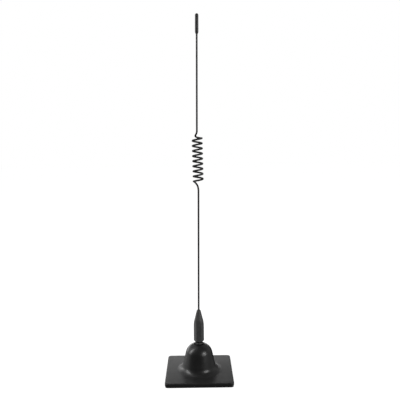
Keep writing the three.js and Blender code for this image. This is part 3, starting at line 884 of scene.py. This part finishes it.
def hex_ferrule():
    """Hexagonal bar cut to its turned outline, with a blind bore below and the wire's socket above."""
    angles = hex_angles()
    reach = [hex_radius(a) for a in angles]
    outside = []
    for radius, height in ferrule_outline():
        sizes = [soft_min(r, radius) for r in reach]
        outside.append([(s * math.cos(a), s * math.sin(a), height) for s, a in zip(sizes, angles)])
    bore = [
        (DRILL_TIP_RADIUS, BORE_TOP + DRILL_POINT),
        (BORE_RADIUS, BORE_TOP),
        (BORE_RADIUS, FERRULE_BOTTOM + BORE_MOUTH_DEPTH),
        (BORE_RADIUS + BORE_MOUTH_WIDTH, FERRULE_BOTTOM),
    ]
    socket = [
        (SOCKET_RADIUS, FERRULE_TOP - SOCKET_EDGE),
        (SOCKET_RADIUS, SOCKET_FLOOR),
    ]
    bm = bmesh.new()
    add_loops(bm, turned(bore, angles) + outside + turned(socket, angles), caps=(True, True))
    ferrule = finish_mesh("hex_ferrule", bm, sharp_degrees=28.0)
    return dress(ferrule, COATED, "coated_ferrule", "mast", "ferrule")


# ---- Whip ----
WIRE_SIDES = 20
STEPS_PER_TURN = 56
STRAIGHT_STEP = 2.0
UV_PER_MM = 0.01


def lower_wire_x(height):
    """How far to the right the leaning lower wire is at a height."""
    return (height - LEAN_PIVOT) * math.tan(WHIP_LEAN)


def upper_wire_x(height):
    """The same for the upper wire, which leaves the coil a little to one side."""
    start = lower_wire_x(LOWER_WIRE_END) + COIL_SIDE_STEP
    return start + (height - UPPER_WIRE_START) * math.tan(WHIP_LEAN)


def coil_point(turn):
    """The wire's centre in the coil, by turns from the bottom of its full-size part."""
    below = max(0.0, -turn) / LOWER_LEAD_TURNS
    above = max(0.0, turn - COIL_TURNS) / UPPER_LEAD_TURNS
    near = 1 - max(below, above)
    radius = COIL_RADIUS * near * near * (3 - 2 * near)
    share = min(1.0, max(0.0, turn / COIL_TURNS))
    height = COIL_BOTTOM + (COIL_TOP - COIL_BOTTOM) * share
    height += UPPER_LEAD * above**2 - LOWER_LEAD * below**2
    along = (height - LOWER_WIRE_END) / (UPPER_WIRE_START - LOWER_WIRE_END)
    start, end = lower_wire_x(LOWER_WIRE_END), upper_wire_x(UPPER_WIRE_START)
    angle = math.pi + TAU * turn
    x = start + (end - start) * along + radius * math.cos(angle)
    return Vector((x, radius * math.sin(angle), height))


def coil_points(first, last):
    count = int(round((last - first) * STEPS_PER_TURN))
    return [coil_point(turn) for turn in np.linspace(first, last, count + 1)]


def straight_points(side_at, bottom, top):
    count = int(round((top - bottom) / STRAIGHT_STEP))
    return [Vector((side_at(z), 0, z)) for z in np.linspace(bottom, top, count + 1)]


def tube_loops(points):
    """Rings round a line of points, each turned as little as possible from the one before."""
    tangents = [
        (points[min(i + 1, len(points) - 1)] - points[max(i - 1, 0)]).normalized()
        for i in range(len(points))
    ]
    side = tangents[0].orthogonal().normalized()
    loops = []
    for point, tangent in zip(points, tangents):
        side = (side - tangent * side.dot(tangent)).normalized()
        other = tangent.cross(side)
        loops.append([
            point + WIRE_RADIUS * (math.cos(a) * side + math.sin(a) * other)
            for a in circle_angles(WIRE_SIDES)
        ])
    return loops


def map_along(bm, rings, points):
    """Adds a UV map: u runs along the wire and v round it."""
    uv = bm.loops.layers.uv.new("along")
    lengths = [(b - a).length for a, b in zip(points, points[1:])]
    run = np.concatenate([[0.0], np.cumsum(lengths)]) * UV_PER_MM
    place = {v: (i, j) for i, ring in enumerate(rings) for j, v in enumerate(ring)}
    for face in bm.faces:
        steps = [place[corner.vert][1] for corner in face.loops if corner.vert in place]
        wraps = 0 in steps and WIRE_SIDES - 1 in steps
        for corner in face.loops:
            i, j = place.get(corner.vert, (0, 0))
            across = WIRE_SIDES if wraps and j == 0 else j
            corner[uv].uv = (run[i], across / WIRE_SIDES)


def wire_tube(name, points):
    """A round wire swept along a line of points."""
    bm = bmesh.new()
    rings = add_loops(bm, tube_loops(points), caps=(True, True))
    map_along(bm, rings, points)
    return finish_mesh(name, bm, sharp_degrees=60.0)


def whip():
    """The whip is one wire. Its two halves meet in the middle of the coil, where the bend is shared."""
    middle_turn = COIL_TURNS / 2
    lower = straight_points(lower_wire_x, LOWER_WIRE_START, LOWER_WIRE_END)
    lower += coil_points(-LOWER_LEAD_TURNS, middle_turn)[1:]
    upper = coil_points(middle_turn, COIL_TURNS + UPPER_LEAD_TURNS)
    upper += straight_points(upper_wire_x, UPPER_WIRE_START, WIRE_END)[1:]
    lower_half = wire_tube("whip_wire_lower", lower)
    upper_half = wire_tube("whip_wire_upper", upper)
    dress(lower_half, WIRE, "coated_wire", None, "lower_whip", "phasing_coil")
    dress(upper_half, WIRE, "coated_wire", None, "upper_whip", "phasing_coil")
    return lower_half, upper_half


def flex(lower_half, upper_half):
    """Bakes each half's placement into its mesh."""

    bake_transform(lower_half)
    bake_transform(upper_half)


# ---- Tip cap ----
CAP_ANGLES = circle_angles(64)
CAP_STEPS = 12
CAP_EDGE_STEPS = 3


def cap_outline():
    """Lip, flared skirt, body and round nose, from the socket's mouth up."""
    shoulder_height = CAP_LENGTH - CAP_RADIUS
    lip_centre = (CAP_RADIUS - CAP_SKIRT_INSET - CAP_LIP_ROUND, CAP_LIP_ROUND)
    skirt_start = (CAP_RADIUS - CAP_SKIRT_INSET, CAP_SKIRT_BOTTOM)
    skirt_end = (CAP_RADIUS - CAP_SKIRT_STEP, CAP_SKIRT_TOP)
    body_start = (CAP_RADIUS, CAP_BODY_BOTTOM)
    body_end = (CAP_RADIUS - CAP_TAPER, shoulder_height)
    outline = arc(lip_centre, CAP_LIP_ROUND, -90, -20, CAP_EDGE_STEPS)
    outline += line(skirt_start, skirt_end, CAP_EDGE_STEPS)
    outline += line(body_start, body_end, CAP_STEPS)
    for radius, height in arc((0, shoulder_height), CAP_RADIUS, 4, 82, CAP_STEPS):
        outline.append((radius - CAP_TAPER, height))
    outline.append((CAP_TIP_RADIUS, CAP_LENGTH))
    return outline


def seamed_ring(radius, height):
    """A ring of the cap that stands a little proud at the mould's parting line."""
    ring = []
    for a in CAP_ANGLES:
        proud = 0.0
        if radius > SEAM_LEAST_RADIUS:
            proud = SEAM_HEIGHT * math.exp(-((math.sin(a) / SEAM_WIDTH) ** 2))
        ring.append(((radius + proud) * math.cos(a), (radius + proud) * math.sin(a), height))
    return ring


def tip_cap():
    """The moulded cap: a round nose, a long body with a fine parting line, and a tapered skirt."""
    socket = [
        (CAP_SOCKET_CENTRE, CAP_SOCKET_DEPTH),
        (CAP_SOCKET_RADIUS, CAP_SOCKET_DEPTH),
        (CAP_SOCKET_RADIUS, CAP_MOUTH_DEPTH),
        (CAP_SOCKET_RADIUS + CAP_MOUTH_FLARE, 0.0),
    ]
    bm = bmesh.new()
    outside = [seamed_ring(radius, height) for radius, height in cap_outline()]
    add_loops(bm, turned(socket, CAP_ANGLES) + outside, caps=(True, True))
    lean = Matrix.Rotation(WHIP_LEAN, 4, "Y")
    move = Matrix.Translation((upper_wire_x(CAP_BOTTOM), 0, CAP_BOTTOM))
    bmesh.ops.transform(bm, matrix=move @ lean, verts=bm.verts)
    cap = finish_mesh("moulded_tip_cap", bm, sharp_degrees=50.0)
    return dress(cap, CAP_PLASTIC, "cap_black", "tip", "tip_cap")


# ---- Pieces inside the bell keep their CAD shape ----
INNER_MATERIALS = {
    "coupling_plate": BRASS,
    "contact_strap": BRASS,
    "strap_rivet": BRASS,
    "stud_washer": ZINC,
    "lock_washer": ZINC,
    "stud_nut": ZINC,
    "plate_screw_1": ZINC,
    "plate_screw_2": ZINC,
    "plate_screw_3": ZINC,
    "plate_screw_4": ZINC,
}


def dress_inner_pieces():
    for name, material in INNER_MATERIALS.items():
        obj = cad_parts[name]
        obj.data.materials.clear()
        obj.data.materials.append(material)


# ---- Stage and light ----
def split_by_ray(tree, for_camera, for_light):
    """Joins one shader for what the camera sees and another for what lights the object."""
    path = tree.nodes.new("ShaderNodeLightPath")
    mix = tree.nodes.new("ShaderNodeMixShader")
    tree.links.new(path.outputs["Is Camera Ray"], mix.inputs[0])
    tree.links.new(for_light, mix.inputs[1])
    tree.links.new(for_camera, mix.inputs[2])
    return mix.outputs[0]


FLOOR_REACH = 6.0
FLOOR_STEPS = 24
FLOOR_GREY = 0.20
FLOOR_GLOW = 0.97


def make_floor():
    """A pale floor that glows evenly, so that no horizon shows, and that the object does not mirror."""
    bm = bmesh.new()
    bmesh.ops.create_grid(bm, x_segments=FLOOR_STEPS, y_segments=FLOOR_STEPS, size=FLOOR_REACH)
    mesh = bpy.data.meshes.new("floor")
    bm.to_mesh(mesh)
    bm.free()
    floor = bpy.data.objects.new("floor", mesh)
    bpy.context.scene.collection.objects.link(floor)
    material = bpy.data.materials.new("pale_floor")
    material.use_nodes = True
    shader = material.node_tree.nodes["Principled BSDF"]
    shader.inputs["Base Color"].default_value = grey(FLOOR_GREY)
    shader.inputs["Roughness"].default_value = 0.9
    shader.inputs["Specular IOR Level"].default_value = 0.0
    shader.inputs["Emission Color"].default_value = grey(1.0)
    shader.inputs["Emission Strength"].default_value = FLOOR_GLOW
    mesh.materials.append(material)
    floor.visible_glossy = False
    floor.visible_diffuse = False


def direction(azimuth, elevation):
    """A direction from the object. Azimuth is from +Y towards +X, and both angles are in degrees."""
    a, e = math.radians(azimuth), math.radians(elevation)
    return Vector((math.sin(a) * math.cos(e), math.cos(a) * math.cos(e), math.sin(e)))


# Soft panels round the object: azimuth, elevation, full out to, gone beyond (degrees), and strength.
SURROUND = [
    (180, -10, 45, 100, 0.055),
    (-66, -4, 20, 46, 0.72),
    (90, -4, 20, 50, 0.30),
    (-45, 32, 15, 42, 0.55),
    (45, 32, 15, 42, 0.35),
]
DARKEST = 0.015


def soft_panel(tree, toward, azimuth, elevation, full, gone, strength):
    """The strength of one panel in a direction: all of it near its middle, fading to none."""
    along = tree.nodes.new("ShaderNodeVectorMath")
    along.operation = "DOT_PRODUCT"
    along.inputs[1].default_value = direction(azimuth, elevation)
    tree.links.new(toward, along.inputs[0])
    panel = tree.nodes.new("ShaderNodeMapRange")
    panel.interpolation_type = "SMOOTHSTEP"
    edges = (math.cos(math.radians(gone)), math.cos(math.radians(full)), 0.0, strength)
    for socket, number in zip(panel.inputs[1:5], edges):
        socket.default_value = number
    tree.links.new(along.outputs["Value"], panel.inputs["Value"])
    return panel.outputs["Result"]


def make_world():
    """Pale panels round the object that it reflects, before a plain white background."""
    world = bpy.data.worlds.new("studio")
    bpy.context.scene.world = world
    world.use_nodes = True
    tree = world.node_tree
    tree.nodes.clear()
    toward = tree.nodes.new("ShaderNodeTexCoord").outputs["Generated"]
    total = None
    for settings in SURROUND:
        joined = tree.nodes.new("ShaderNodeMath")
        joined.operation = "ADD"
        joined.inputs[0].default_value = DARKEST
        if total:
            tree.links.new(total, joined.inputs[0])
        tree.links.new(soft_panel(tree, toward, *settings), joined.inputs[1])
        total = joined.outputs["Value"]
    lit = tree.nodes.new("ShaderNodeBackground")
    tree.links.new(total, lit.inputs["Strength"])
    seen = tree.nodes.new("ShaderNodeBackground")
    seen.inputs["Color"].default_value = grey(1.0)
    output = tree.nodes.new("ShaderNodeOutputWorld")
    mixed = split_by_ray(tree, seen.outputs[0], lit.outputs[0])
    tree.links.new(mixed, output.inputs["Surface"])


# Soft boxes: name, azimuth, elevation (degrees), distance, width, height (metres), power and aim point.
SOFT_BOXES = [
    ("left_box", -94, 32, 1.20, 0.26, 0.90, 7.0, (0, 0, 0.030)),
    ("left_high_box", -80, 66, 1.20, 0.60, 0.40, 0.7, (0, 0, 0.030)),
    ("right_box", 131, 23, 1.20, 0.46, 0.40, 6.2, (0, 0, 0.030)),
    ("back_card", -20, 0, 0.16, 0.28, 0.05, 0.084, (0, 0, 0.039)),
]


def soft_box(name, azimuth, elevation, distance, width, height, power, target):
    """A soft box that faces its aim point and is itself unseen."""
    data = bpy.data.lights.new(name, "AREA")
    data.shape = "RECTANGLE"
    data.size = width
    data.size_y = height
    data.energy = power
    light = bpy.data.objects.new(name, data)
    toward = direction(azimuth, elevation)
    light.location = Vector(target) + toward * distance
    light.rotation_mode = "QUATERNION"
    light.rotation_quaternion = toward.to_track_quat("Z", "Y")
    bpy.context.scene.collection.objects.link(light)
    light.visible_camera = False


bpy.context.scene.view_settings.view_transform = "Standard"
make_floor()
make_world()
for settings in SOFT_BOXES:
    soft_box(*settings)

foot_shell()
foam_tape()
threaded_stud()
crown_seal()
neck_gasket()
hex_ferrule()
flex(*whip())
tip_cap()
dress_inner_pieces()
